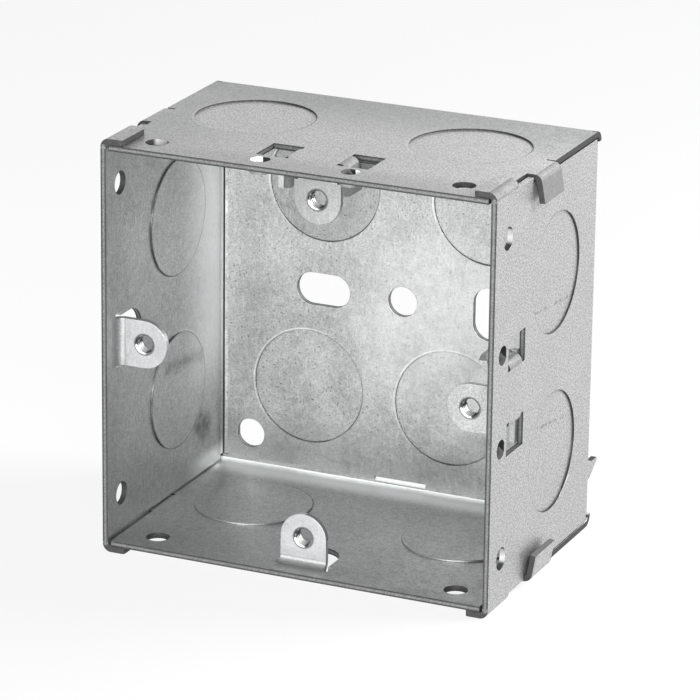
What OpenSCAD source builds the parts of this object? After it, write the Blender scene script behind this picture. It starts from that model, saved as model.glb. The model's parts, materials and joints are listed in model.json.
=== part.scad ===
// Flush back box for one wiring accessory, folded from one galvanised sheet.
// X is to the right, Y goes into the box from the open front, Z is up.
// The origin is the middle of the back's outer face.

/* [Box] */
// Width over the side walls
box_w = 72; // [68:1:90]
// Height over the top and bottom walls
box_h = 72; // [68:1:90]
// Depth from the front edge to the outer face of the back
box_d = 46.5; // [44:0.5:65]
// Thickness of the sheet
sheet_t = 1; // [0.8:0.05:1.1]
// Inside radius of the bends round the back
bend_r = 1; // [0.6:0.1:1.2]

/* [Knockouts] */
// Radius of the conduit knockouts
knockout_r = 10.5; // [9:0.25:10.75]
// Step of a knockout disc out of its wall
knockout_sink = 0.3; // [0.2:0.05:0.5]
// Depth of the wall knockouts' centres from the front edge
knockout_d = 27; // [26:0.5:30]
// Distance of the side walls' knockouts from the middle
side_knockout_s = 16; // [13:0.5:19]
// Distance of the top and bottom knockouts from the middle
top_knockout_s = 20; // [13:0.5:21]

/* [Fixing holes] */
// Radius of the fixing hole in the middle of the back
centre_hole_r = 2.75; // [2:0.25:3]
// Radius of the fixing hole near the corner of the back
corner_hole_r = 2.7; // [2:0.1:2.8]
// Width of the fixing slots
slot_w = 6; // [4:0.25:6.5]
// Length of the level fixing slot
level_slot_l = 10.3; // [8:0.1:11]
// Length of the upright fixing slot
upright_slot_l = 9.7; // [8:0.1:11]
// Radius of the small holes along the front edge
edge_hole_r = 2; // [1.5:0.1:2.25]
// Distance of these holes from the middle of their wall
edge_hole_s = 28; // [25:0.5:29]
// Depth of these holes from the front edge
edge_hole_d = 5.2; // [4:0.1:6]

/* [Corner folds] */
// Inside radius of the small folds
fold_r = 0.5; // [0.4:0.05:0.6]
// Gap between a front tab and the wall that it covers
front_tab_gap = 0.1; // [0.05:0.05:0.2]
// Length along the depth of the side walls' front tabs
front_tab_l = 9.2; // [6:0.1:10]
// Straight reach of the front tabs past their fold
front_tab_reach = 2.6; // [2.2:0.1:4]
// Corner radius of the front tabs at their front
front_tab_corner_r = 0.5; // [0.3:0.1:1]
// Corner radius of the front tabs at their rear
front_tab_rear_r = 1.3; // [0.5:0.1:2]
// Depth at which the top and bottom walls' side tabs start
side_tab_from = 16.2; // [13:0.1:17]
// Length along the depth of the side tabs
side_tab_l = 8.6; // [7:0.1:11]
// Straight reach of the side tabs past their fold
side_tab_reach = 3.6; // [2.5:0.1:4]
// Angle by which the side tabs stand off the wall
side_tab_spring = 10; // [0:1:14]
// Gap between a side tab and the wall that it covers
side_tab_gap = 0.35; // [0.1:0.05:0.4]
// Relief slit beside a side tab
tab_relief = 0.5; // [0.3:0.1:0.8]
// Gap between a side wall's ends and the walls across them
wall_gap = 0.3; // [0.2:0.05:0.4]
// Relief at the corners of the back
corner_relief = 0.2; // [0.1:0.05:0.4]

/* [Screw lugs] */
// Radius of the lugs' round ends
lug_r = 4.25; // [3.75:0.05:4.3]
// Radius of the threaded screw holes
lug_hole_r = 1.7; // [1.4:0.05:1.75]
// Radius of the collar drawn round a screw hole
collar_r = 2.4; // [2.2:0.05:2.6]
// Length of the collar behind its lug
collar_l = 1.6; // [1:0.1:1.8]
// Height of the screw holes over the outer face of their wall
lug_rise = 5.85; // [5.6:0.05:6.5]
// Depth of the lugs' front faces from the front edge
lug_front = 4.5; // [4.3:0.1:6]
// Inside radius of a fixed lug's bend
fixed_lug_bend_r = 1.2; // [0.8:0.1:1.4]
// Clearance round the lance that frees a fixed lug
lance_gap = 0.15; // [0.1:0.05:0.3]
// Depth of the round end of a fixed lug's window, at its centre
fixed_window_d = 8.9; // [8:0.1:10]
// Half width of the relief notches at a fixed lug's root
notch_half = 5.1; // [4.9:0.1:5.6]
// Length along the depth of these notches
notch_l = 1.9; // [1.5:0.1:2.5]

/* [Adjustable lugs] */
// Travel of an adjustable lug from end to end
slide_travel = 4; // [2:0.25:4]
// Gap between an adjustable lug and what it slides along
slide_gap = 0.15; // [0.1:0.05:0.2]
// Half length of the lug's two guide bars
bar_half = 8.2; // [7.5:0.1:8.5]
// Width of a guide bar
bar_w = 1.2; // [0.9:0.1:1.3]
// Length along the depth of the sliding plate
slider_l = 8.1; // [7.5:0.1:9]
// Seat of a guide bar on the wall beside the window
bar_seat = 0.4; // [0.3:0.05:0.6]
// Clearance round an ear beside, under and behind the bars
ear_gap = 0.3; // [0.2:0.05:0.35]
// Distance of the ears' fold from the middle of the wall
ear_root_s = 4.5; // [4.4:0.1:5]
// Distance of the windows' outer ends from the middle
window_end_s = 10.3; // [9.5:0.1:11]
// Height of the ears over the outer face of the wall
ear_rise = 5.9; // [5.4:0.1:6.5]
// Drop of an ear's front corner below its height
ear_drop = 0.7; // [0.3:0.1:1]
// Length along the depth of the sloped front of an ear
ear_slope_l = 2.6; // [2:0.1:3.5]
// Distance of the pressed stops from the middle of the wall
stop_s = 8.2; // [8.1:0.1:9]
// Centre of a pressed stop ahead of its sheared edge
stop_lead = 1.5; // [1.2:0.1:1.6]
// Radius of a stop's hollow at the outer face
stop_hollow_r = 1.7; // [1.5:0.05:1.8]
// Radius of a stop's hollow at its floor
stop_floor_r = 1.35; // [1:0.05:1.4]
// Depth of a stop's hollow below the outer face
stop_hollow_h = 1.4; // [1.2:0.05:1.5]
// Radius of a stop where it leaves the inner face
stop_base_r = 2.5; // [2.4:0.05:2.75]
// Radius of a stop at its crown
stop_crown_r = 1.8; // [1.7:0.05:2.1]
// Height of a stop over the outer face
stop_h = 2.2; // [2.1:0.05:2.5]

/* [Sheared back edge] */
// Half length of the slit under the back's lower bend
slit_half = 5; // [3:0.5:8]
// Height of the slit over the outer face of the bottom wall
slit_rise = 1.7; // [1.6:0.1:2.2]
// Width of the slit
slit_w = 0.8; // [0.5:0.1:1]
// Height of the spur's upper edge below the middle of the right wall
spur_drop = 24.3; // [22:0.1:26]
// Length of the spur along the wall's rear edge
spur_l = 2.9; // [2:0.1:4]
// Length of the spur's tip
spur_tip_l = 0.6; // [0.4:0.1:1]
// Reach of the spur behind the back
spur_reach = 2.4; // [1:0.1:3]
// Clearance cut in the bend round the spur
spur_gap = 0.3; // [0.2:0.1:0.6]

/* [Hidden] */
$fn = 48;

// Centres of the back's knockouts, as shares of the width and the height
back_knockout_shares = [[-0.211, 0.272], [0.225, 0.271], [-0.25, -0.257], [0.1305, -0.257]];
// Centres of the level slot, the upright slot and the corner hole, in the same way
level_slot_share = -0.2125;
upright_slot_share = 0.229;
corner_hole_share = [-0.4085, -0.4055];

// Overrun of every cut past the face that it leaves
cut = 1.5;
// Overlap of a knockout disc with the rim of its hole
knockout_key = 0.05;

half_w = box_w / 2;
half_h = box_h / 2;
bend_out = bend_r + sheet_t;
fold_h = sheet_t + fold_r;
// Turns that carry the bottom wall's frame to each wall
BOTTOM = 0;
LEFT = 90;
RIGHT = -90;
TOP = 180;

slider_h = sheet_t + slide_gap;
slider_front = lug_front + sheet_t + fold_r;
slider_rear = slider_front + slider_l;
ear_from = slider_front + bar_w + ear_gap;
ear_to = slider_rear - bar_w - ear_gap;
head_from = slider_front + ear_gap;
head_to = slider_rear - ear_gap;
head_h = slider_h + sheet_t + slide_gap;
stop_edge = lug_front + sheet_t;
web_half = ear_root_s - slide_travel / 2 - slide_gap;
neck_half = stop_s - stop_base_r - slide_travel / 2 - slide_gap;
neck_top = slider_h + fold_h;

// A wall's own frame: X along the wall from its middle, Y the depth from the front
// edge, Z the height over the wall's outer face, towards the inside of the box.
module at_wall(turn, half) {
    translate([0, -box_d, 0]) rotate([0, turn, 0]) translate([0, 0, -half]) children();
}

// Sweeps a section of depth and height along the wall, both ways from its middle
module sweep_along(length) {
    rotate([90, 0, 90]) linear_extrude(height = length, center = true) children();
}

// Sweeps a face of the wall's X and Z along the depth
module sweep_depth(from, length) {
    translate([0, from + length, 0]) rotate([90, 0, 0]) linear_extrude(height = length) children();
}

// Region up to a depth and a height, with its far lower corner rounded
module rounded_region(from, depth, rise, r) {
    translate([from, 0]) square([depth - r - from, rise]);
    translate([from, r]) square([depth - from, rise - r]);
    translate([depth - r, r]) circle(r = r);
}

// Section of a wall with its bend up into the back
module wall_section() {
    difference() {
        rounded_region(0, box_d, 2 * bend_out, bend_out);
        translate([0, sheet_t]) rounded_region(-cut, box_d - sheet_t, 2 * bend_out, bend_r);
    }
}

// Quarter of a bend's section, from straight down to straight ahead
module quarter_ring(r) {
    intersection() {
        difference() {
            circle(r = r + sheet_t);
            circle(r = r);
        }
        translate([0, -r - sheet_t]) square(r + sheet_t);
    }
}

// Flat piece of wall, as wide as reach both ways
module wall_plate(reach, from, to) {
    translate([-reach, from, 0]) cube([2 * reach, to - from, sheet_t]);
}

module both_ends() {
    children();
    mirror([1, 0, 0]) children();
}

// Small fold about an axis along Y, from the wall's plane to upright
module fold(length) {
    translate([0, length, 0]) rotate([90, 0, 0]) rotate([0, 0, -90])
        rotate_extrude(angle = 90) translate([fold_r, 0]) square([sheet_t, length]);
}

// Outline of a front tab, with its two free corners rounded
module tab_outline() {
    rest = front_tab_l - front_tab_corner_r;
    square([front_tab_l, front_tab_reach - front_tab_rear_r]);
    translate([front_tab_rear_r, 0])
        square([rest - front_tab_rear_r, front_tab_reach]);
    translate([rest, 0]) square([front_tab_corner_r, front_tab_reach - front_tab_corner_r]);
    translate([front_tab_rear_r, front_tab_reach - front_tab_rear_r]) circle(r = front_tab_rear_r);
    translate([rest, front_tab_reach - front_tab_corner_r]) circle(r = front_tab_corner_r);
}

// Tab of a side wall's front, folded over the outside of the top or bottom wall
module front_tab(fold_s) {
    translate([fold_s, 0, fold_h]) {
        fold(front_tab_l);
        translate([fold_r, front_tab_l, 0]) rotate([90, 0, 0])
            translate([sheet_t, 0, 0]) rotate([0, -90, 0])
                linear_extrude(height = sheet_t) tab_outline();
    }
}

// Section of a side tab: its bend from the wall's plane and its leg, sprung off the next wall
module side_tab_section() {
    steps = 10;
    turn = 90 - side_tab_spring;
    leg = side_tab_reach * [sin(side_tab_spring), cos(side_tab_spring)];
    function on_bend(r, i) = r * [sin(turn * i / steps), -cos(turn * i / steps)];
    polygon(concat(
        [for (i = [0 : steps]) on_bend(fold_h, i)],
        [on_bend(fold_h, steps) + leg, on_bend(fold_r, steps) + leg],
        [for (i = [steps : -1 : 0]) on_bend(fold_r, i)]
    ));
}

// Tab of the top or bottom wall, folded over the outside of a side wall
module side_tab(fold_s) {
    translate([fold_s, 0, fold_h]) sweep_depth(side_tab_from, side_tab_l) side_tab_section();
}

// Plate of a screw lug, with its round end and its threaded hole in a drawn collar
module lug_plate(from_h) {
    collar_end = lug_front + sheet_t + collar_l;
    difference() {
        union() {
            sweep_depth(lug_front, sheet_t) {
                translate([-lug_r, from_h]) square([2 * lug_r, lug_rise - from_h]);
                translate([0, lug_rise]) circle(r = lug_r);
            }
            translate([0, collar_end, lug_rise]) rotate([90, 0, 0])
                cylinder(r = collar_r, h = collar_l + sheet_t / 2);
        }
        translate([0, collar_end + cut, lug_rise]) rotate([90, 0, 0])
            cylinder(r = lug_hole_r, h = sheet_t + collar_l + 2 * cut);
    }
}

// Lug bent up out of the wall's own sheet
module fixed_lug() {
    translate([0, lug_front - fixed_lug_bend_r, sheet_t + fixed_lug_bend_r])
        sweep_along(2 * lug_r) quarter_ring(fixed_lug_bend_r);
    lug_plate(sheet_t + fixed_lug_bend_r);
}

// Window that the fixed lug leaves in the wall
module fixed_lug_window() {
    root = lug_front - fixed_lug_bend_r;
    window_r = lug_r + lance_gap;
    translate([0, 0, -cut]) linear_extrude(height = sheet_t + 2 * cut) {
        translate([-window_r, root]) square([2 * window_r, fixed_window_d - root]);
        translate([0, fixed_window_d]) circle(r = window_r);
        translate([-notch_half, root]) square([2 * notch_half, notch_l]);
    }
}

// Ear bent up out of a window, whose head keeps the guide bars down
module ear() {
    translate([ear_root_s, ear_from, fold_h]) fold(ear_to - ear_from);
    translate([ear_root_s + fold_r + sheet_t / 2, 0, 0]) sweep_along(sheet_t) polygon([
        [ear_from, fold_h], [ear_from, head_h], [head_from, head_h],
        [head_from, ear_rise - ear_drop], [head_from + ear_slope_l, ear_rise],
        [head_to, ear_rise], [head_to, head_h], [ear_to, head_h], [ear_to, fold_h]
    ]);
}

module ear_window() {
    translate([ear_root_s, slider_front + bar_seat, -cut])
        cube([window_end_s - ear_root_s, slider_l - 2 * bar_seat, sheet_t + 2 * cut]);
}

// Space ahead of a pressed stop's sheared edge
module ahead_of_edge() {
    translate([0, stop_edge - box_d, -box_d / 2]) cube([box_w, box_d, box_d]);
}

// Half round stop pressed inwards, sheared and open at its rear
module pressed_stop() {
    intersection() {
        translate([stop_s, stop_edge - stop_lead, sheet_t / 2])
            cylinder(r1 = stop_base_r + (stop_base_r - stop_crown_r) * sheet_t / 2 / (stop_h - sheet_t),
                r2 = stop_crown_r, h = stop_h - sheet_t / 2);
        ahead_of_edge();
    }
}

module stop_hollow() {
    intersection() {
        translate([stop_s, stop_edge - stop_lead, 0])
            cylinder(r1 = stop_hollow_r, r2 = stop_floor_r, h = stop_hollow_h);
        ahead_of_edge();
    }
    intersection() {
        translate([stop_s, stop_edge - stop_lead, -cut]) cylinder(r = stop_hollow_r, h = cut);
        ahead_of_edge();
    }
}

// Holes of a wall's two knockouts
module wall_knockout_holes(s) {
    for (x = [-s, s])
        translate([x, knockout_d, -cut]) cylinder(r = knockout_r, h = sheet_t + 2 * cut);
}

// Discs of these knockouts, sheared and stepped a little to the inside
module wall_knockout_discs(s) {
    for (x = [-s, s])
        translate([x, knockout_d, knockout_sink]) cylinder(r = knockout_r + knockout_key, h = sheet_t);
}

module edge_holes() {
    for (x = [-edge_hole_s, edge_hole_s])
        translate([x, edge_hole_d, -cut]) cylinder(r = edge_hole_r, h = sheet_t + 2 * cut);
}

// Side wall: full height, with a tab over the top and bottom walls at its front
module side_wall_sheet() {
    fold_s = half_h + front_tab_gap - fold_r;
    sweep_along(2 * (half_h - bend_out - corner_relief)) wall_section();
    wall_plate(half_h - sheet_t - wall_gap, 0, box_d - bend_out);
    wall_plate(fold_s, 0, side_tab_from - tab_relief);
    both_ends() front_tab(fold_s);
}

// End of the bend round the back, carried on to the side wall's outer face
module bend_end() {
    length = bend_out + corner_relief;
    translate([half_w - length / 2, box_d - bend_out, bend_out]) sweep_along(length) quarter_ring(bend_r);
}

// Top or bottom wall: full width at the rear, with a tab over each side wall
module end_wall_sheet() {
    fold_s = half_w + side_tab_gap - fold_r;
    sweep_along(2 * (half_w - bend_out - corner_relief)) wall_section();
    both_ends() bend_end();
    wall_plate(half_w - fold_h, 0, box_d - bend_out);
    wall_plate(fold_s, side_tab_from, side_tab_from + side_tab_l);
    wall_plate(half_w, side_tab_from + side_tab_l + tab_relief, box_d - bend_out);
    both_ends() side_tab(fold_s);
}

// A wall with its knockouts, edge holes and a fixed lug
module fixed_lug_wall(knockout_s) {
    difference() {
        children();
        wall_knockout_holes(knockout_s);
        edge_holes();
        fixed_lug_window();
    }
    wall_knockout_discs(knockout_s);
    fixed_lug();
}

// A wall with its knockouts, edge holes and the guides of an adjustable lug
module guide_wall(knockout_s) {
    difference() {
        union() {
            difference() {
                children();
                wall_knockout_holes(knockout_s);
                edge_holes();
                both_ends() ear_window();
            }
            both_ends() pressed_stop();
        }
        both_ends() stop_hollow();
    }
    wall_knockout_discs(knockout_s);
    both_ends() ear();
}

// Slot with round ends, level until it is turned, cut along Y
module back_slot(x, length, turn) {
    r = slot_w / 2;
    translate([x, cut, 0]) rotate([90, turn, 0]) linear_extrude(height = sheet_t + 2 * cut) {
        square([length - slot_w, slot_w], center = true);
        for (side = [-1, 1]) translate([side * (length / 2 - r), 0]) circle(r = r);
    }
}

module back_hole(x, z, r) {
    translate([x, cut, z]) rotate([90, 0, 0]) cylinder(r = r, h = sheet_t + 2 * cut);
}

module back_plate() {
    difference() {
        translate([bend_out - half_w, -sheet_t, bend_out - half_h])
            cube([box_w - 2 * bend_out, sheet_t, box_h - 2 * bend_out]);
        for (share = back_knockout_shares)
            back_hole(share.x * box_w, share.y * box_h, knockout_r);
        back_hole(0, 0, centre_hole_r);
        back_hole(corner_hole_share.x * box_w, corner_hole_share.y * box_h, corner_hole_r);
        back_slot(level_slot_share * box_w, level_slot_l, 0);
        back_slot(upright_slot_share * box_w, upright_slot_l, 90);
    }
    for (share = back_knockout_shares)
        translate([share.x * box_w, knockout_sink, share.y * box_h]) rotate([90, 0, 0])
            cylinder(r = knockout_r + knockout_key, h = sheet_t);
}

// Spur left standing on the right wall's rear edge, where the bend is sheared away
module spur_notch() {
    translate([-spur_drop - spur_l - spur_gap, box_d - bend_out, -cut])
        cube([spur_l + 2 * spur_gap, bend_out + cut, bend_out + cut]);
}

module spur() {
    root = box_d - 2 * bend_out;
    linear_extrude(height = sheet_t) polygon([
        [-spur_drop, root], [-spur_drop, box_d + spur_reach],
        [-spur_drop - spur_tip_l, box_d + spur_reach],
        [-spur_drop - spur_l, box_d - bend_out / 2], [-spur_drop - spur_l, root]
    ]);
}

// Slit sheared in the foot of the back, over the bottom wall
module back_slit() {
    translate([-slit_half, box_d - sheet_t - cut, slit_rise])
        cube([2 * slit_half, sheet_t + 2 * cut, slit_w]);
}

module box_body() {
    color("silver") difference() {
        union() {
            back_plate();
            at_wall(BOTTOM, half_h) fixed_lug_wall(top_knockout_s) end_wall_sheet();
            at_wall(TOP, half_h) guide_wall(top_knockout_s) end_wall_sheet();
            at_wall(LEFT, half_w) fixed_lug_wall(side_knockout_s) side_wall_sheet();
            at_wall(RIGHT, half_w) guide_wall(side_knockout_s) side_wall_sheet();
        }
        at_wall(BOTTOM, half_h) back_slit();
        at_wall(RIGHT, half_w) spur_notch();
    }
    color("silver") at_wall(RIGHT, half_w) spur();
}

// Sliding plate under the ears, with its lug folded up at the front
module adjustable_lug() {
    translate([-slide_travel / 2, 0, 0]) {
        translate([-web_half, slider_front, slider_h]) cube([2 * web_half, slider_l, sheet_t]);
        for (from = [slider_front, slider_rear - bar_w])
            translate([-bar_half, from, slider_h]) cube([2 * bar_half, bar_w, sheet_t]);
        translate([0, slider_front, slider_h + fold_h]) mirror([0, 1, 0])
            sweep_along(2 * neck_half) quarter_ring(fold_r);
        sweep_depth(lug_front, sheet_t) translate([-neck_half, slider_h + fold_h])
            square([2 * neck_half, neck_top + sheet_t - slider_h - fold_h]);
        lug_plate(neck_top);
    }
}

module top_adjustable_lug() {
    color("gainsboro") at_wall(TOP, half_h) adjustable_lug();
}

module right_adjustable_lug() {
    color("gainsboro") at_wall(RIGHT, half_w) adjustable_lug();
}

box_body();
top_adjustable_lug();
right_adjustable_lug();
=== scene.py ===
import json
import math

import bpy
from mathutils import Matrix, Vector


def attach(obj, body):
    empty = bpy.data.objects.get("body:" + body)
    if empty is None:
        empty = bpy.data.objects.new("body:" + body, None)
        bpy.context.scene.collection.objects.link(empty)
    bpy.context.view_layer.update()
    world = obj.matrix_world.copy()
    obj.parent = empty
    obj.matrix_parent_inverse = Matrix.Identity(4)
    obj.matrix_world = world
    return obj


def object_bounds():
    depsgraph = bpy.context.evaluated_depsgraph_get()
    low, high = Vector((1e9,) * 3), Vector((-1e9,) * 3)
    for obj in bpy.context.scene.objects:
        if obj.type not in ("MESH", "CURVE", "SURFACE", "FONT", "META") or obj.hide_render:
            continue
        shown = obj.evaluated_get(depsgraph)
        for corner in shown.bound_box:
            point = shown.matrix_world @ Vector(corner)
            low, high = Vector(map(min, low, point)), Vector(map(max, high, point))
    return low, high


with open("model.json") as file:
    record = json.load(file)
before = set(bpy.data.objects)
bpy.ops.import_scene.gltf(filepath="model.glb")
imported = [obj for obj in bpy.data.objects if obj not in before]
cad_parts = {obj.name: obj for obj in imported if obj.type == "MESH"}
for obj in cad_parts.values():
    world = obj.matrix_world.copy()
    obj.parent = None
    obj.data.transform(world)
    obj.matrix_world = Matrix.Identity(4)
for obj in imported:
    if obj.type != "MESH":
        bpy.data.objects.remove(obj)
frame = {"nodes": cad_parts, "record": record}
cad_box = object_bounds()

MM = 0.001
MOUNTS = {mount["name"]: mount for mount in frame["record"]["mounts"]}

# Sizes of the box, in millimetres in its own frame, for the patterns of the finish
SHEET = 1.0
HALF = 36.0
FRONT = -46.5
BEND_OUT = 2.0
SIDE_TAB_FRONT = -30.5
KNOCKOUT_R = 10.5
WALL_KNOCKOUT_Y = -19.5
SIDE_KNOCKOUT_Z = 16.0
TOP_KNOCKOUT_X = 20.0
BACK_KNOCKOUTS = [(-15.19, 19.58), (16.2, 19.51), (-18.0, -18.5), (9.4, -18.5)]
KNOCKOUT_REACH = 15.0
STOP_S = 8.2
STOP_Y = -42.5
STOP_HOLLOW_R = 1.74
EDGE_HOLE_S = 28.0
EDGE_HOLE_Y = -41.3
EDGE_HOLE_R = 2.0
LUG_FRONT = -42.0
LUG_R = 4.25
LUG_BORE_R = 1.75
LUG_RIM_R = 1.86
COLLAR_END = -39.3
FIXED_LUG_HOLES = [(-30.15, 0.0), (0.0, -30.15)]
SLIDING_LUG_HOLES = [(30.15, -2.0), (2.0, 30.15)]

# A point beyond these, outwards or backwards, belongs to a wall or to the back
WALLS_START = HALF - 1.5 * SHEET
BACK_START = -1.5 * SHEET

# The thread of a 3.5 mm screw
THREAD_PITCH = 0.6
THREAD_TURNS = 3.5
STEPS_PER_TURN = 32
THREAD_ROOT_R = 1.74
RIDGE_R = 0.2
RIDGE_STRETCH = 1.6


# The camera, where the photograph was taken from

AZIMUTH = math.radians(24.06)
ELEVATION = math.radians(18.85)
ROLL = math.radians(0.72)
DISTANCE = 765.5 * MM
TARGET = Vector((1.36, -26.5, -0.92)) * MM
FOCAL_PX = 4480.0
PHOTO_PX = 700.0
SENSOR_MM = 36.0
NEAREST = 0.05
FARTHEST = 20.0


def add_camera():
    data = bpy.data.cameras.new("photo_camera")
    data.sensor_width = SENSOR_MM
    data.lens = FOCAL_PX / PHOTO_PX * SENSOR_MM
    data.clip_start = NEAREST
    data.clip_end = FARTHEST
    back = Vector((math.sin(AZIMUTH) * math.cos(ELEVATION),
                   -math.cos(AZIMUTH) * math.cos(ELEVATION), math.sin(ELEVATION)))
    level = Vector((math.cos(AZIMUTH), math.sin(AZIMUTH), 0.0))
    upright = back.cross(level)
    right = math.cos(ROLL) * level + math.sin(ROLL) * upright
    up = math.cos(ROLL) * upright - math.sin(ROLL) * level
    camera = bpy.data.objects.new("photo_camera", data)
    camera.matrix_world = (Matrix.Translation(TARGET + back * DISTANCE)
                           @ Matrix((right, up, back)).transposed().to_4x4())
    bpy.context.scene.collection.objects.link(camera)
    bpy.context.scene.camera = camera


# Small helpers that add nodes to a material

# Where a Mix node keeps its two colours and the blended one
FIRST_COLOUR, SECOND_COLOUR, BLENDED = 6, 7, 2


class Shader:
    """One material's node tree, with short calls for the nodes that the finishes use."""

    def __init__(self, name):
        self.material = bpy.data.materials.new(name)
        self.material.use_nodes = True
        self.tree = self.material.node_tree
        self.tree.nodes.clear()
        place = self.add("ShaderNodeTexCoord")
        self.object_point = place.outputs["Object"]
        self.x, self.y, self.z = self.split(place.outputs["Object"])
        self.side = self.math("ABSOLUTE", self.x)
        self.height = self.math("ABSOLUTE", self.z)
        self.facing = self.split(place.outputs["Normal"])
        self.turned = [self.math("ABSOLUTE", part) for part in self.facing]

    def add(self, kind):
        return self.tree.nodes.new(kind)

    def link(self, source, socket):
        self.tree.links.new(source, socket)

    def put(self, value, socket):
        if isinstance(value, bpy.types.NodeSocket):
            self.link(value, socket)
        else:
            socket.default_value = value

    def split(self, vector):
        node = self.add("ShaderNodeSeparateXYZ")
        self.link(vector, node.inputs[0])
        return list(node.outputs)

    def math(self, operation, *values, clamp=False):
        node = self.add("ShaderNodeMath")
        node.operation = operation
        node.use_clamp = clamp
        for value, socket in zip(values, node.inputs):
            self.put(value, socket)
        return node.outputs[0]

    def ramp(self, value, low, high, to_low=0.0, to_high=1.0):
        node = self.add("ShaderNodeMapRange")
        node.interpolation_type = "SMOOTHSTEP"
        for number, socket in zip((value, low, high, to_low, to_high), node.inputs):
            self.put(number, socket)
        return node.outputs[0]

    def noise(self, size_mm, detail=2.0, stretch=(1.0, 1.0, 1.0), shift=0.0, swirl=0.0):
        mapping = self.add("ShaderNodeMapping")
        mapping.inputs["Location"].default_value = (shift, shift * 0.7, shift * 1.3)
        mapping.inputs["Scale"].default_value = [1.0 / (size_mm * MM * s) for s in stretch]
        self.link(self.object_point, mapping.inputs["Vector"])
        noise = self.add("ShaderNodeTexNoise")
        noise.inputs["Scale"].default_value = 1.0
        noise.inputs["Detail"].default_value = detail
        noise.inputs["Distortion"].default_value = swirl
        self.link(mapping.outputs[0], noise.inputs["Vector"])
        return noise.outputs["Fac"]

    def blend(self, share, first, second):
        node = self.add("ShaderNodeMix")
        node.data_type = "RGBA"
        self.put(share, node.inputs["Factor"])
        self.put(first, node.inputs[FIRST_COLOUR])
        self.put(second, node.inputs[SECOND_COLOUR])
        return node.outputs[BLENDED]

    def less(self, value, limit):
        return self.math("LESS_THAN", value, limit)

    def more(self, value, limit):
        return self.math("GREATER_THAN", value, limit)

    def within(self, value, low_mm, high_mm):
        return self.times(self.more(value, low_mm * MM), self.less(value, high_mm * MM))

    def times(self, value, share):
        return self.math("MULTIPLY", value, share)

    def all_of(self, *masks):
        total = masks[0]
        for mask in masks[1:]:
            total = self.times(total, mask)
        return total

    def any_of(self, *masks):
        total = masks[0]
        for mask in masks[1:]:
            total = self.math("MAXIMUM", total, mask)
        return total

    def but_not(self, mask):
        return self.math("SUBTRACT", 1.0, mask)

    def from_middle(self, value, middle_mm):
        return self.math("ABSOLUTE", self.math("SUBTRACT", value, middle_mm * MM))

    def stripe(self, value, middle_mm, width_mm):
        """1 in the middle of a stripe, falling to 0 at half its width to each side."""
        return self.ramp(self.from_middle(value, middle_mm), 0.0, width_mm / 2 * MM, 1.0, 0.0)

    def length(self, dx, dy):
        return self.math("SQRT", self.math("ADD", self.times(dx, dx), self.times(dy, dy)))

    def offsets(self, across, along, centre_mm):
        return (self.math("SUBTRACT", across, centre_mm[0] * MM),
                self.math("SUBTRACT", along, centre_mm[1] * MM))

    def toward(self, offsets, heading):
        """How far a point lies towards a heading from where the offsets start."""
        return self.math("ADD", self.times(offsets[0], heading[0]), self.times(offsets[1], heading[1]))

    def scratch(self, across, along, start_mm, end_mm, width_mm):
        """1 along a straight scratch from start to end."""
        span = Vector(end_mm) - Vector(start_mm)
        run = span.normalized()
        offsets = self.offsets(across, along, start_mm)
        beside = self.toward(offsets, (-run.y, run.x))
        ahead = self.toward(offsets, (run.x, run.y))
        return self.all_of(self.stripe(beside, 0.0, width_mm),
                           self.within(ahead, 0.0, span.length))

    def spot(self, across, along, centre_mm, radius_mm):
        """1 in the middle of a soft round spot, 0 at its radius."""
        far = self.length(*self.offsets(across, along, centre_mm))
        return self.ramp(far, 0.2 * radius_mm * MM, radius_mm * MM, 1.0, 0.0)


# Finishes

INNER_TINT = (-0.02, 0.005, 0.0)
OUTER_TINT = (0.0, -0.008, 0.025)

# How grey the coats and their marks are, from 0 for black to 1 for white
BOX_COAT = 0.40
LUG_COAT = 0.46
SHADOW = 0.03
# Cut faces: partly the dull sheared steel, partly painted shade in the gaps
CUT_AND_SHADE = 0.04
# The sheared lines round the knockouts and the lugs' hole rims, darkened with painted shade
SHEAR_AND_SHADE = 0.05
WORN = 0.05
DOT = 0.08
DARK_THREAD = 0.12
SCRATCHED = 0.12
# A painted highlight on one side of the knockout lines
KNOCKOUT_HIGHLIGHT = 0.68
LIT_BORE = 0.9
GOUGED = 0.95
# A painted highlight in the sliding lugs' holes and on the threads
BRIGHT = 0.98

# Slack round the faces that a pattern covers, in millimetres
SLACK = 0.05

# How far a face is turned to an axis, from 0 to 1: in a bend it is past BENT, and HALFWAY in its middle;
# below EDGE_ON the face stands across it, and past MOSTLY_ON or FACE_ON it looks along it
BENT = 0.04
EDGE_ON = 0.4
MOSTLY_ON = 0.5
HALFWAY = 0.7
FACE_ON = 0.7

# Where a fixed lug stands, inwards from its wall
LUG_PLATE = (-34.9, -25.0)
LUG_ROOT = (-HALF, -33.7)

# The metal skin that all the finishes share
METALLIC = 0.8
BUMP_STRENGTH = 0.3
BUMP_HEIGHT = 0.12 * MM
EDGE_SAMPLES = 4

# Marks on the walls, as depth and height in millimetres
RUB_SPOTS = [((-8.6, -26.3), 3.8, 1.0), ((-10.8, -25.0), 3.4, 1.0), ((-10.4, -12.0), 2.4, 0.8)]
SMEAR = ((-25.0, -10.6), (-10.5, -12.0), 4.4)
SCRATCHES = [((-28.5, 11.2), (-13.0, 9.7), 0.9), ((-25.5, -10.1), (-11.8, -11.9), 0.9)]
GOUGE = ((-15.0, -25.7), (-11.0, -23.1), 0.5)


def grey(level, tint=(0.0, 0.0, 0.0)):
    return tuple(level * (1.0 + part) for part in tint) + (1.0,)


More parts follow.
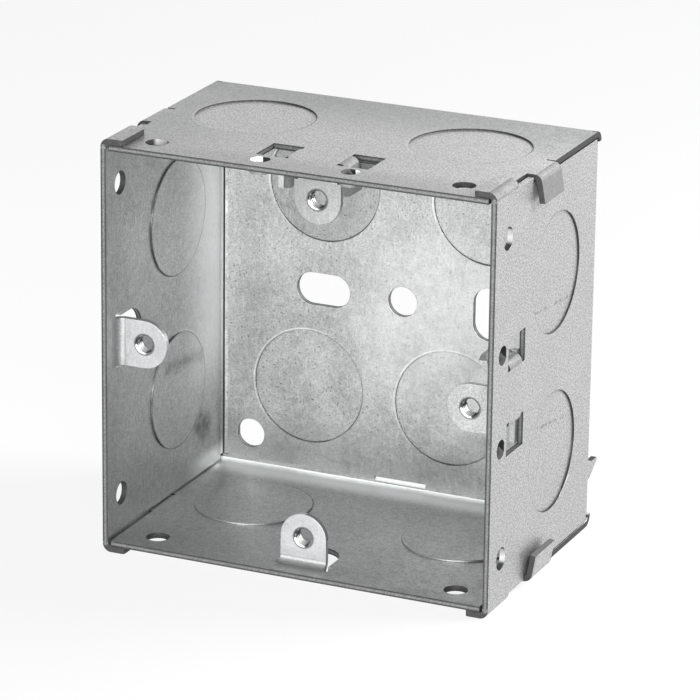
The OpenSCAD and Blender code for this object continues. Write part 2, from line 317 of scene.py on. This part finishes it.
def disc_line(shader, across, along, centre, heading, least=0.12):
    """The sheared line round a knockout: darker with painted shade towards its heading, and a painted
    highlight on the other side.
    """
    offsets = shader.offsets(across, along, centre)
    far = shader.length(*offsets)
    depth = shader.toward(offsets, heading)
    reach = KNOCKOUT_R * MM
    dark = shader.all_of(shader.stripe(far, KNOCKOUT_R, 0.42),
                         shader.ramp(depth, -0.7 * reach, 0.9 * reach, least, 1.0))
    bright = shader.all_of(shader.stripe(far, KNOCKOUT_R + 0.3, 0.44),
                           shader.ramp(depth, 0.2 * reach, -0.9 * reach, 0.0, 1.0))
    return dark, bright


def knockout_lines(shader):
    """The lines round all the knockouts, with painted shade on one side and a painted highlight on the
    other; the highlights are faint on the top and right walls.
    """
    on_side = shader.more(shader.side, WALLS_START * MM)
    on_top = shader.more(shader.height, WALLS_START * MM)
    on_back = shader.more(shader.y, BACK_START * MM)
    right = shader.ramp(shader.x, -HALF * MM, HALF * MM, -1.0, 1.0)
    lines = [(on_side, disc_line(shader, shader.height, shader.y,
                                 (SIDE_KNOCKOUT_Z, WALL_KNOCKOUT_Y), (0.15, right), 0.75))]
    for x in (-TOP_KNOCKOUT_X, TOP_KNOCKOUT_X):
        near = shader.less(shader.from_middle(shader.x, x), KNOCKOUT_REACH * MM)
        lines.append((shader.all_of(on_top, near), disc_line(shader, shader.x, shader.y,
                                                             (x, WALL_KNOCKOUT_Y), (1.0, 0.15))))
    for centre in BACK_KNOCKOUTS:
        lines.append((on_back, disc_line(shader, shader.x, shader.z, centre, (0.75, -0.65))))
    dark, bright = 0.0, 0.0
    for wall, (dark_line, bright_line) in lines:
        dark = shader.any_of(dark, shader.all_of(wall, dark_line))
        bright = shader.any_of(bright, shader.all_of(wall, bright_line))
    faint = shader.any_of(on_top, shader.more(shader.x, WALLS_START * MM))
    return dark, shader.all_of(bright, shader.but_not(shader.times(faint, 0.7)))


def cut_faces(shader):
    """How dark the sheet is where it is cut: dark at both mouths, with a burnished band between; the dark
    is partly the dull sheared steel and partly painted shade, most of all in the corner gaps and under the
    tabs.
    """
    inner, outer = HALF - SHEET - SLACK, HALF + 0.03
    corner = HALF - 1.25
    beyond_bend = shader.less(shader.y, -(BEND_OUT + 0.1) * MM)
    front_tabs = shader.all_of(shader.less(shader.y, SIDE_TAB_FRONT * MM),
                               shader.more(shader.side, inner * MM))
    lug_roots = shader.all_of(shader.within(shader.y, FRONT + 2.0, LUG_FRONT + 1.8),
                              fixed_lugs(shader, LUG_R + 0.95))
    wall = shader.all_of(beyond_bend, shader.but_not(lug_roots))

    def land(value, middle_mm):
        return shader.ramp(shader.from_middle(value, middle_mm), 0.06 * MM, 0.36 * MM, 0.66, 1.0)

    side_land = land(shader.side, HALF - SHEET / 2)
    top_land = land(shader.height, HALF - SHEET / 2)
    off_sides, off_back, off_top = [shader.less(turned, EDGE_ON) for turned in shader.turned]
    in_side = shader.within(shader.side, inner, outer)
    in_top = shader.within(shader.height, inner, outer)
    side_wall = shader.all_of(in_side, shader.less(shader.height, corner * MM), off_sides, wall, side_land)
    top_wall = shader.all_of(in_top, shader.less(shader.side, outer * MM), off_top, wall,
                             shader.but_not(front_tabs), top_land)
    flat_of_back = (HALF - BEND_OUT - 0.1) * MM
    back = shader.all_of(shader.more(shader.y, -(SHEET + SLACK) * MM), off_back,
                         shader.less(shader.side, flat_of_back),
                         shader.less(shader.height, flat_of_back), land(shader.y, -SHEET / 2))
    corners = shader.all_of(beyond_bend, shader.but_not(front_tabs), shader.any_of(
        shader.all_of(in_top, shader.within(shader.side, HALF - 1.6, outer), off_top),
        shader.all_of(in_side, shader.within(shader.height, HALF - 1.4, corner), off_sides)))
    past_side = shader.more(shader.side, outer * MM)
    past_top = shader.more(shader.height, outer * MM)
    tab_ends = shader.all_of(shader.any_of(past_side, past_top), beyond_bend, shader.any_of(
        shader.more(shader.turned[1], FACE_ON),
        shader.all_of(shader.more(shader.turned[2], FACE_ON), past_side,
                      shader.less(shader.height, (HALF - 2.0) * MM)),
        shader.all_of(shader.more(shader.turned[0], FACE_ON), past_top,
                      shader.less(shader.side, (HALF - 3.0) * MM))))
    spur = shader.all_of(shader.more(shader.y, SLACK * MM), shader.more(shader.x, inner * MM), off_sides)
    bend_ends = shader.all_of(shader.but_not(beyond_bend), shader.more(shader.side, inner * MM),
                              shader.more(shader.height, (HALF - BEND_OUT) * MM))
    rim = shader.all_of(shader.less(shader.y, (FRONT + 0.02) * MM),
                        shader.math("MINIMUM", side_land, top_land))
    return shader.any_of(side_wall, top_wall, back, corners, tab_ends, spur, bend_ends, rim)


def fixed_lugs(shader, half_width_mm):
    """The bands across the left and bottom walls that their lugs stand in."""
    return shader.any_of(
        shader.all_of(shader.less(shader.x, 0.0), shader.less(shader.height, half_width_mm * MM)),
        shader.all_of(shader.less(shader.z, 0.0), shader.less(shader.side, half_width_mm * MM)))


def stop_hollows(shader):
    """The hollows behind the sheared stops: painted shade in the right wall's, and a painted highlight in
    the top wall's, crossed by a stroke of painted shade.
    """
    def hollow(wall, offsets):
        return shader.all_of(shader.within(wall, HALF - 1.45, HALF - 0.03),
                             shader.less(shader.length(*offsets), STOP_HOLLOW_R * MM))

    right = hollow(shader.x, shader.offsets(shader.height, shader.y, (STOP_S, STOP_Y)))
    from_top_stop = shader.offsets(shader.side, shader.y, (STOP_S, STOP_Y))
    top = hollow(shader.z, from_top_stop)
    stroke = shader.more(shader.toward(from_top_stop, (-0.8, 0.6)), 0.7 * MM)
    return shader.any_of(right, shader.all_of(top, stroke)), shader.all_of(top, shader.but_not(stroke))


def edge_bores(shader):
    """The bores of the holes at the front edge, and how far their middles catch the light."""
    bores, lit = 0.0, 0.0
    for wall, along in ((shader.side, shader.height), (shader.height, shader.side)):
        across, deep = shader.offsets(along, shader.y, (EDGE_HOLE_S, EDGE_HOLE_Y))
        bore = shader.all_of(shader.within(wall, HALF - SHEET - SLACK, HALF - 0.02),
                             shader.less(shader.length(across, deep), (EDGE_HOLE_R + 0.08) * MM))
        middle = shader.ramp(shader.math("ABSOLUTE", across), 0.9 * MM, 1.5 * MM, 1.0, 0.0)
        bores = shader.any_of(bores, bore)
        lit = shader.any_of(lit, shader.all_of(bore, middle))
    right = shader.times(shader.more(shader.x, WALLS_START * MM), 0.55)
    top_left = shader.all_of(shader.more(shader.z, WALLS_START * MM), shader.less(shader.x, 0.0), 0.45)
    return bores, shader.all_of(lit, shader.any_of(right, top_left))


def lug_bore(shader, holes):
    """A lug's hole: painted shade on its rim and in its bore, and a painted highlight on the side of the
    bore that catches the light.
    """
    dark, lit = 0.0, 0.0
    for centre in holes:
        offsets = shader.offsets(shader.x, shader.z, centre)
        far = shader.length(*offsets)
        rim = shader.all_of(shader.stripe(far, LUG_RIM_R, 0.5),
                            shader.within(shader.y, LUG_FRONT - 0.2, LUG_FRONT + SLACK))
        bore = shader.all_of(shader.less(far, LUG_BORE_R * MM),
                             shader.within(shader.y, LUG_FRONT - 0.1, COLLAR_END))
        glint = shader.ramp(shader.toward(offsets, (-0.6, -0.8)), 1.05 * MM, 1.35 * MM)
        dark = shader.any_of(dark, shader.times(rim, 0.75), shader.all_of(bore, shader.but_not(glint)))
        lit = shader.any_of(lit, shader.all_of(bore, glint))
    return dark, lit


def zinc_coat(shader, level, mottling):
    """The grey of a galvanised skin: broad clouds, a fine swirled spangle, rolling marks and grain."""
    cloud = shader.noise(9.0, detail=3.0)
    spangle = shader.noise(1.2, detail=2.0, swirl=0.7)
    rolling = shader.noise(0.45, detail=1.0, stretch=(1.0, 1.0, 4.0), shift=11.0)
    speckle = shader.noise(0.3, detail=1.0, shift=23.0)
    outside = (HALF - 0.5) * MM
    outer = shader.any_of(shader.more(shader.side, outside), shader.more(shader.height, outside))
    dull, clear = [shader.blend(outer, grey(level * tone, INNER_TINT), grey(level * tone, OUTER_TINT))
                   for tone in (1 - mottling, 1 + mottling)]
    colour = shader.blend(cloud, dull, clear)
    colour = shader.blend(shader.ramp(spangle, 0.35, 0.65, 0.0, 0.45), colour, grey(level * 0.76))
    colour = shader.blend(shader.ramp(rolling, 0.45, 0.75, 0.0, 0.5), colour, grey(level * 1.25))
    strength = shader.ramp(outer, 0.0, 1.0, 0.38, 0.8)
    dark_grain = shader.all_of(shader.ramp(speckle, 0.36, 0.5, 1.0, 0.0), strength)
    light_grain = shader.all_of(shader.ramp(speckle, 0.5, 0.64), strength)
    colour = shader.blend(dark_grain, colour, grey(level * 0.6))
    colour = shader.blend(light_grain, colour, grey(level * 1.5))
    return colour, cloud, spangle, rolling


def finish_coat(shader, colour, rough, height, edge_mm):
    """The shared end of the galvanised finishes: a metal skin whose edges catch the light."""
    round_edges = shader.add("ShaderNodeBevel")
    round_edges.samples = EDGE_SAMPLES
    round_edges.inputs["Radius"].default_value = edge_mm * MM
    bump = shader.add("ShaderNodeBump")
    bump.inputs["Strength"].default_value = BUMP_STRENGTH
    bump.inputs["Distance"].default_value = BUMP_HEIGHT
    shader.link(height, bump.inputs["Height"])
    shader.link(round_edges.outputs[0], bump.inputs["Normal"])
    skin = shader.add("ShaderNodeBsdfPrincipled")
    skin.inputs["Metallic"].default_value = METALLIC
    shader.link(colour, skin.inputs["Base Color"])
    shader.link(rough, skin.inputs["Roughness"])
    shader.link(bump.outputs[0], skin.inputs["Normal"])
    output = shader.add("ShaderNodeOutputMaterial")
    shader.link(skin.outputs[0], output.inputs["Surface"])


def handling_marks(shader, colour, faces, spangle):
    """Dots inside the back, rubs on the left wall's inside, scratches and a gouge on the right wall."""
    depth, z = shader.y, shader.z
    dots = shader.ramp(shader.noise(0.42, detail=0.0, shift=5.0), 0.72, 0.78, 0.0, 0.75)
    colour = shader.blend(shader.all_of(dots, faces["back"]), colour, grey(DOT))
    rubs = shader.any_of(*[shader.times(shader.spot(depth, z, centre, radius), share)
                           for centre, radius, share in RUB_SPOTS],
                         shader.times(shader.scratch(depth, z, *SMEAR), 0.55))
    rubs = shader.all_of(rubs, faces["left"], shader.ramp(spangle, 0.25, 0.6, 0.6, 1.0))
    colour = shader.blend(shader.times(rubs, 0.9), colour, grey(WORN))
    scratches = shader.all_of(faces["right"], shader.any_of(*[shader.scratch(depth, z, *mark)
                                                              for mark in SCRATCHES]))
    broken = shader.ramp(spangle, 0.4, 0.6, 0.0, 0.6)
    colour = shader.blend(shader.all_of(scratches, broken), colour, grey(SCRATCHED))
    gouge = shader.all_of(faces["right"], shader.scratch(depth, z, *GOUGE))
    return shader.blend(gouge, colour, grey(GOUGED)), scratches


def wall_tones(shader, colour, level, faces):
    """Painted light and shade on the walls: a painted sheen on the bottom and the left wall near the back,
    a painted pool of light on the back, and painted shade in bands, on the top-left disc and on the top
    right tab.
    """
    def band(face, along, start_mm, end_mm, most=1.0):
        """Grows along a face, from nothing at the start to its most at the end."""
        return shader.all_of(faces[face], shader.ramp(along, start_mm * MM, end_mm * MM, 0.0, most))

    x, depth, z = shader.x, shader.y, shader.z
    # Painted sheen: lighter bands near the rear bends, standing in for reflected light
    painted_sheen = shader.any_of(
        band("bottom", depth, -8.5, -3.5),
        shader.all_of(band("left", depth, -18.0, -8.0), band("left", z, -30.5, -33.0)),
        shader.all_of(band("left", depth, -20.0, -5.0, 0.65), band("left", z, -24.0, -8.0)))
    colour = shader.blend(painted_sheen, colour, grey(level * 2.2, INNER_TINT))
    # A painted pool of light on the back, round its bright middle
    from_centre = shader.length(*shader.offsets(x, z, (9.0, -4.0)))
    painted_light_pool = shader.all_of(faces["back"], shader.ramp(from_centre, 8.0 * MM, 26.0 * MM, 0.36, 0.0))
    colour = shader.blend(painted_light_pool, colour, grey(level * 1.7))
    from_disc = shader.length(*shader.offsets(x, z, BACK_KNOCKOUTS[0]))
    top_left_disc = shader.all_of(faces["back"], shader.less(from_disc, KNOCKOUT_R * MM))
    tab_face = shader.all_of(shader.more(x, (HALF + 0.1) * MM), shader.more(z, 20.0 * MM),
                             shader.less(depth, -10.0 * MM), shader.more(shader.facing[0], FACE_ON))
    # Painted shade: darker bands along the back's folds, the roof, the front of the bottom and left walls,
    # the top-left disc and the top right tab
    painted_shade = shader.any_of(
        band("back", z, -20.0, -32.0, 0.65),
        shader.all_of(band("back", z, 17.0, 30.0, 0.7), shader.less(x, 10.0 * MM)),
        shader.times(top_left_disc, 0.4),
        band("roof", x, -8.0, -34.0, 0.4),
        band("roof", depth, -26.0, -2.0, 0.6),
        band("roof", depth, -37.0, -44.0, 0.35),
        shader.times(tab_face, 0.45),
        band("bottom", depth, -26.0, -46.0, 0.4),
        band("left", depth, -34.0, -46.0, 0.3),
        band("left", z, -12.0, -30.0, 0.35))
    return shader.blend(painted_shade, colour, grey(level * 0.45, INNER_TINT))


def lug_tones(shader, colour, level):
    """The fixed lugs: a paler plate, and a root darkened with painted shade in its bend."""
    half_width = (LUG_R + 0.15) * MM

    def from_walls(low_mm, high_mm):
        return shader.any_of(
            shader.all_of(shader.within(shader.x, low_mm, high_mm), shader.less(shader.height, half_width)),
            shader.all_of(shader.within(shader.z, low_mm, high_mm), shader.less(shader.side, half_width)))

    plates = shader.all_of(shader.within(shader.y, LUG_FRONT - 0.1, COLLAR_END), from_walls(*LUG_PLATE))
    colour = shader.blend(shader.times(plates, 0.4), colour, grey(level * 1.5, OUTER_TINT))
    # Painted shade in the bend at each lug's root
    roots = shader.all_of(shader.within(shader.y, LUG_FRONT - 2.6, LUG_FRONT + 0.1), from_walls(*LUG_ROOT))
    return shader.blend(shader.times(roots, 0.45), colour, grey(level * 0.5))


def fold_tones(shader, colour, level):
    """Painted shade in a dark crease up the left bend, a painted highlight along the foot of the bottom
    one, and painted shade over the outer folds at the top right.
    """
    in_fold = shader.all_of(
        shader.more(shader.y, -(BEND_OUT + 0.02) * MM), shader.less(shader.facing[1], -BENT),
        shader.any_of(shader.more(shader.turned[0], BENT), shader.more(shader.turned[2], BENT)))
    left_fold = shader.all_of(in_fold, shader.less(shader.x, 0.0), shader.more(shader.turned[0], BENT))
    off_crease = shader.math("ABSOLUTE", shader.math("SUBTRACT", shader.turned[0], HALFWAY))
    crease = shader.ramp(off_crease, 0.06, 0.22, 1.0, 0.0)
    # Painted shade along the crease of the left bend
    colour = shader.blend(shader.all_of(left_fold, crease), colour, grey(SHADOW))
    # A painted highlight along the foot of the bottom bend
    painted_foot_sheen = shader.all_of(in_fold, shader.less(shader.z, 0.0), shader.more(shader.turned[2], MOSTLY_ON))
    colour = shader.blend(shader.times(painted_foot_sheen, 0.8), colour, grey(level * 2.2, INNER_TINT))
    # Painted shade over the outer folds at the top right
    top_folds = shader.all_of(shader.less(shader.y, -(BEND_OUT + 0.1) * MM), shader.more(shader.x, 0.0),
                              shader.more(shader.facing[0], 2 * BENT),
                              shader.more(shader.facing[2], 2 * BENT))
    colour = shader.blend(shader.times(top_folds, 0.7), colour, grey(level * 0.4))
    return colour, shader.any_of(in_fold, top_folds)


def box_zinc(level):
    """The box's own sheet, with the marks of its shears, punches and handling, and painted light and shade.
    """
    shader = Shader("box_zinc")
    colour, cloud, spangle, rolling = zinc_coat(shader, level, mottling=0.10)
    to_front = shader.less(shader.facing[1], -MOSTLY_ON)
    to_right = shader.more(shader.facing[0], MOSTLY_ON)
    up = shader.more(shader.facing[2], MOSTLY_ON)
    faces = {
        "back": shader.all_of(shader.more(shader.y, -BEND_OUT * MM), to_front),
        "left": shader.all_of(shader.less(shader.x, -WALLS_START * MM), to_right),
        "right": shader.more(shader.x, WALLS_START * MM),
        "bottom": shader.all_of(shader.less(shader.z, -(HALF - BEND_OUT) * MM), up),
        "roof": shader.all_of(shader.more(shader.z, (HALF - 0.1) * MM), up),
    }
    colour, scratches = handling_marks(shader, colour, faces, spangle)
    colour = wall_tones(shader, colour, level, faces)
    colour = lug_tones(shader, colour, level)

    # The knockout lines: sheared lines darkened with painted shade on one side, with a painted highlight on
    # the other
    dark, bright = knockout_lines(shader)
    uneven = shader.ramp(shader.noise(5.0, detail=1.0, shift=3.0), 0.3, 0.6, 0.45, 1.0)
    colour = shader.blend(shader.all_of(dark, uneven), colour, grey(SHEAR_AND_SHADE))
    colour = shader.blend(shader.all_of(bright, uneven), colour, grey(KNOCKOUT_HIGHLIGHT))

    bores, lit_bores = edge_bores(shader)
    # Cut faces and the edge holes' bores go dark: partly the dull sheared steel, partly painted shade in
    # the holes, the corner gaps and under the tabs
    cuts_and_gap_shade = shader.any_of(cut_faces(shader), bores)
    colour = shader.blend(shader.times(cuts_and_gap_shade, 0.94), colour, grey(CUT_AND_SHADE))
    dark_hollows, lit_hollows = stop_hollows(shader)
    dark_lugs, lit_lugs = lug_bore(shader, FIXED_LUG_HOLES)
    # Painted shade in the stop hollows and the fixed lugs' bores, then painted highlights where they catch
    # the light
    colour = shader.blend(shader.any_of(dark_hollows, dark_lugs), colour, grey(SHADOW))
    colour = shader.blend(shader.any_of(lit_hollows, lit_bores, lit_lugs), colour, grey(LIT_BORE))
    colour, folds = fold_tones(shader, colour, level)

    rough = shader.math("ADD", shader.ramp(cloud, 0.3, 0.7, 0.33, 0.45),
                        shader.ramp(spangle, 0.3, 0.7, -0.05, 0.08))
    rough = shader.math("ADD", rough, shader.times(shader.any_of(cuts_and_gap_shade, folds), 0.3), clamp=True)
    height = shader.math("ADD", shader.times(spangle, 0.25), shader.times(rolling, 0.25))
    height = shader.math("SUBTRACT", height, shader.times(scratches, 0.6))
    finish_coat(shader, colour, rough, height, edge_mm=0.16)
    return shader.material


def lug_zinc(level):
    """The two sliding lugs: the same coat, a little brighter and smoother, and darker towards the top with
    painted shade.
    """
    shader = Shader("lug_zinc")
    colour, cloud, spangle, rolling = zinc_coat(shader, level, mottling=0.05)
    dark, lit = lug_bore(shader, SLIDING_LUG_HOLES)
    # Painted shade: darker towards the top, where the top lug stands in shadow
    colour = shader.blend(shader.ramp(shader.z, 20.0 * MM, HALF * MM, 0.0, 0.6), colour, grey(level * 0.45))
    # Painted shade on the rims and in the bores of the lugs' holes, and a painted highlight on their lit
    # side
    colour = shader.blend(dark, colour, grey(SHEAR_AND_SHADE))
    colour = shader.blend(lit, colour, grey(BRIGHT))
    rough = shader.ramp(cloud, 0.3, 0.7, 0.28, 0.4)
    height = shader.math("ADD", shader.times(spangle, 0.3), shader.times(rolling, 0.2))
    finish_coat(shader, colour, rough, height, edge_mm=0.26)
    return shader.material


def thread_zinc():
    """The cut threads: dark, and bright on the side that catches the light."""
    shader = Shader("thread_zinc")
    tone = shader.noise(0.8, detail=1.0)
    _, lit = lug_bore(shader, FIXED_LUG_HOLES + SLIDING_LUG_HOLES)
    patches = shader.any_of(lit, shader.ramp(tone, 0.5, 0.7, 0.0, 0.5))
    colour = shader.blend(patches, grey(DARK_THREAD), grey(BRIGHT))
    finish_coat(shader, colour, shader.ramp(tone, 0.3, 0.7, 0.3, 0.45), tone, edge_mm=0.04)
    return shader.material


def dress(node, material):
    piece = frame["nodes"][node]
    piece.data.materials.clear()
    piece.data.materials.append(material)


# The lugs' screw threads

def add_thread(mount, body, material):
    """One ridge wound along a lug's hole."""
    thread_length = THREAD_TURNS * THREAD_PITCH * MM
    start = Vector(MOUNTS[mount]["pos_m"]) - Vector((0.0, thread_length / 2, 0.0))
    bpy.ops.object.select_all(action="DESELECT")
    bpy.ops.mesh.primitive_circle_add(vertices=3, radius=RIDGE_R * MM, fill_type="NOTHING", location=start)
    ridge = bpy.context.object
    ridge.name = ridge.data.name = mount + "_thread"
    bpy.ops.object.mode_set(mode="EDIT")
    bpy.ops.mesh.select_all(action="SELECT")
    bpy.ops.transform.rotate(value=-math.pi / 2, orient_axis="Z", center_override=start)
    bpy.ops.transform.resize(value=(1.0, RIDGE_STRETCH, 1.0), center_override=start)
    bpy.ops.transform.translate(value=((THREAD_ROOT_R - RIDGE_R / 2) * MM, 0.0, 0.0))
    bpy.ops.object.mode_set(mode="OBJECT")
    wind = ridge.modifiers.new("wind", "SCREW")
    wind.axis = "Y"
    wind.angle = THREAD_TURNS * 2 * math.pi
    wind.screw_offset = thread_length
    wind.steps = wind.render_steps = round(THREAD_TURNS * STEPS_PER_TURN)
    wind.use_merge_vertices = False
    bpy.ops.object.modifier_apply(modifier=wind.name)
    bpy.ops.object.mode_set(mode="EDIT")
    bpy.ops.mesh.select_all(action="SELECT")
    bpy.ops.mesh.fill_holes(sides=3)
    bpy.ops.mesh.normals_make_consistent(inside=False)
    bpy.ops.object.mode_set(mode="OBJECT")
    bpy.ops.object.transform_apply(location=True, rotation=True, scale=True)
    ridge.data.materials.append(material)
    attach(ridge, body)


# The stage: a white floor that keeps a soft shadow, white surroundings and soft lamps

WHITE = (1.0, 1.0, 1.0, 1.0)
FLOOR_SIZE = 6.0
FLOOR_GAP = 0.02 * MM
FLOOR_GREY = 0.9
FLOOR_GLOW = 0.85
FILL_LIGHT = 0.15

# Name, place and width in metres, power in watts
LAMPS = [
    ("front_lamp", (0.0, -1.25, 0.15), 0.5, 12.0),
    ("left_lamp", (-0.45, -1.15, 0.2), 0.5, 1.0),
    ("right_lamp", (0.55, -1.1, 0.2), 0.5, 16.0),
    ("side_lamp", (0.30, 0.15, 0.25), 0.2, 2.4),
    ("rear_lamp", (-0.05, 0.6, 0.25), 0.3, 0.35),
]


def is_seen(tree):
    """1 for rays that look at the background, straight or by a reflection."""
    path = tree.nodes.new("ShaderNodeLightPath")
    total = path.outputs["Is Camera Ray"]
    for name in ("Is Glossy Ray", "Is Transmission Ray"):
        add = tree.nodes.new("ShaderNodeMath")
        add.operation = "MAXIMUM"
        tree.links.new(total, add.inputs[0])
        tree.links.new(path.outputs[name], add.inputs[1])
        total = add.outputs[0]
    return total


def add_floor():
    low, _ = cad_box
    bpy.ops.object.select_all(action="DESELECT")
    bpy.ops.mesh.primitive_plane_add(size=FLOOR_SIZE, location=(0.0, 0.0, low.z - FLOOR_GAP))
    floor = bpy.context.object
    floor.name = "floor"
    material = bpy.data.materials.new("white_floor")
    material.use_nodes = True
    tree = material.node_tree
    tree.nodes.clear()
    paint = tree.nodes.new("ShaderNodeBsdfDiffuse")
    paint.inputs["Color"].default_value = grey(FLOOR_GREY)
    glow = tree.nodes.new("ShaderNodeEmission")
    glow.inputs["Color"].default_value = WHITE
    mix = tree.nodes.new("ShaderNodeMixShader")
    scale = tree.nodes.new("ShaderNodeMath")
    scale.operation = "MULTIPLY"
    scale.inputs[1].default_value = FLOOR_GLOW
    tree.links.new(is_seen(tree), scale.inputs[0])
    tree.links.new(scale.outputs[0], mix.inputs[0])
    tree.links.new(paint.outputs[0], mix.inputs[1])
    tree.links.new(glow.outputs[0], mix.inputs[2])
    output = tree.nodes.new("ShaderNodeOutputMaterial")
    tree.links.new(mix.outputs[0], output.inputs["Surface"])
    floor.data.materials.append(material)


def add_world():
    world = bpy.data.worlds.new("white_surroundings")
    bpy.context.scene.world = world
    world.use_nodes = True
    tree = world.node_tree
    tree.nodes.clear()
    seen = tree.nodes.new("ShaderNodeBackground")
    seen.inputs["Color"].default_value = WHITE
    fill = tree.nodes.new("ShaderNodeBackground")
    fill.inputs["Color"].default_value = WHITE
    fill.inputs["Strength"].default_value = FILL_LIGHT
    mix = tree.nodes.new("ShaderNodeMixShader")
    tree.links.new(is_seen(tree), mix.inputs[0])
    tree.links.new(fill.outputs[0], mix.inputs[1])
    tree.links.new(seen.outputs[0], mix.inputs[2])
    output = tree.nodes.new("ShaderNodeOutputWorld")
    tree.links.new(mix.outputs[0], output.inputs["Surface"])


def add_lamp(name, place, size, power):
    data = bpy.data.lights.new(name, "AREA")
    data.size = size
    data.energy = power
    lamp = bpy.data.objects.new(name, data)
    lamp.location = place
    lamp.rotation_euler = (TARGET - Vector(place)).to_track_quat("-Z", "Y").to_euler()
    bpy.context.scene.collection.objects.link(lamp)


add_camera()
add_floor()
add_world()
for lamp in LAMPS:
    add_lamp(*lamp)

box_skin = box_zinc(BOX_COAT)
lug_skin = lug_zinc(LUG_COAT)
thread_skin = thread_zinc()
dress("box_body", box_skin)
dress("top_adjustable_lug", lug_skin)
dress("right_adjustable_lug", lug_skin)
add_thread("left_lug", "box", thread_skin)
add_thread("bottom_lug", "box", thread_skin)
add_thread("top_lug", "top_lug", thread_skin)
add_thread("right_lug", "right_lug", thread_skin)

bpy.context.scene.view_settings.view_transform = "Standard"
